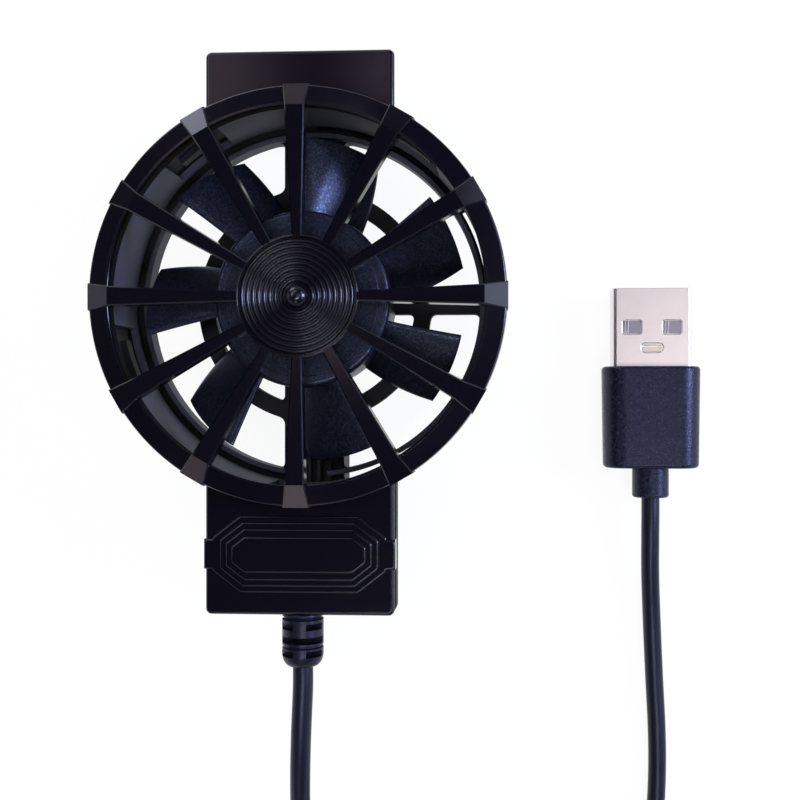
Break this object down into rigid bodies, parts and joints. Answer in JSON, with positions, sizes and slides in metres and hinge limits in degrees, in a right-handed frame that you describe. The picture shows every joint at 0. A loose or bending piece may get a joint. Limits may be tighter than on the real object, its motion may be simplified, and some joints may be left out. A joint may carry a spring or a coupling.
{
  "type": "phone cooling fan",
  "caption": "Clip-on phone cooling fan: round spoked guard over a bladed impeller, sprung sliding jaw, fixed heel with stepped grip, black cord and rectangular metal plug.",
  "frame": {"origin": "middle of the fan's base, without its cord and plug, on the surface that the hook tips stand on", "axes": "+Z out through the guard, +Y along the clamp towards the sliding jaw, +X towards the plug"},
  "size_m": [0.0853, 0.1652, 0.0345],
  "materials": {
    "gloss_black": "glossy black moulded plastic",
    "cap_black": "black plastic with fine turned rings",
    "frame_black": "semi-gloss black moulded plastic",
    "impeller_black": "satin blue-black plastic",
    "soft_pad": "matte black silicone",
    "steel": "plain steel",
    "plug_metal": "bright nickel-plated sheet steel",
    "magnet": "dark grey bonded ferrite",
    "bronze": "sintered bronze",
    "copper": "enamelled copper wire",
    "gold": "gold-plated strip",
    "white_plastic": "off-white plastic",
    "board_green": "green solder mask",
    "lead_black": "thin insulated wire",
    "cord_black": "satin black cord jacket",
    "tie_black": "flat woven strap",
    "boot_black": "satin blue-black moulded boot"
  },
  "bodies": {
    "frame": {"front_guard": "gloss_black", "hub_cap": "cap_black", "fan_frame": "frame_black", "spine_cover": "frame_black", "heel_cover": "gloss_black", "grip_plate": "gloss_black", "cover_screws": "steel", "rest_pads": "soft_pad", "heel_pad": "soft_pad", "return_spring": "steel", "sleeve_bearing": "bronze", "thrust_disc": "white_plastic", "bearing_plug": "frame_black", "stator_core": "steel", "stator_bobbin": "white_plastic", "stator_windings": "copper", "motor_board": "board_green", "motor_leads": "lead_black", "power_board": "board_green", "board_parts": "frame_black", "supply_leads": "lead_black", "strain_relief": "cord_black", "cord_lead": "cord_black", "cord_coil": "cord_black", "cord_tail": "cord_black", "coil_tie": "tie_black", "plug_boot": "boot_black", "plug_shell": "plug_metal", "plug_tongue": "white_plastic", "plug_contacts": "gold"},
    "jaw": {"sliding_jaw": "frame_black", "jaw_cover": "gloss_black", "jaw_pad": "soft_pad", "spring_pin": "steel"},
    "rotor": {"impeller": "impeller_black", "rotor_yoke": "steel", "ring_magnet": "magnet", "shaft": "steel", "retaining_clip": "steel"}
  },
  "joints": [
    {"name": "jaw_slide", "type": "slide", "parent": "frame", "child": "jaw", "axis": [0, 1, 0], "range_m": [0, 0.02], "stiffness_N_per_m": 150, "springref_m": -0.02, "deforming": ["return_spring"]},
    {"name": "rotor_spin", "type": "hinge", "parent": "frame", "child": "rotor", "pos_m": [0, 0.0047, 0.0247], "axis": [0, 0, 1], "continuous": true}
  ]
}
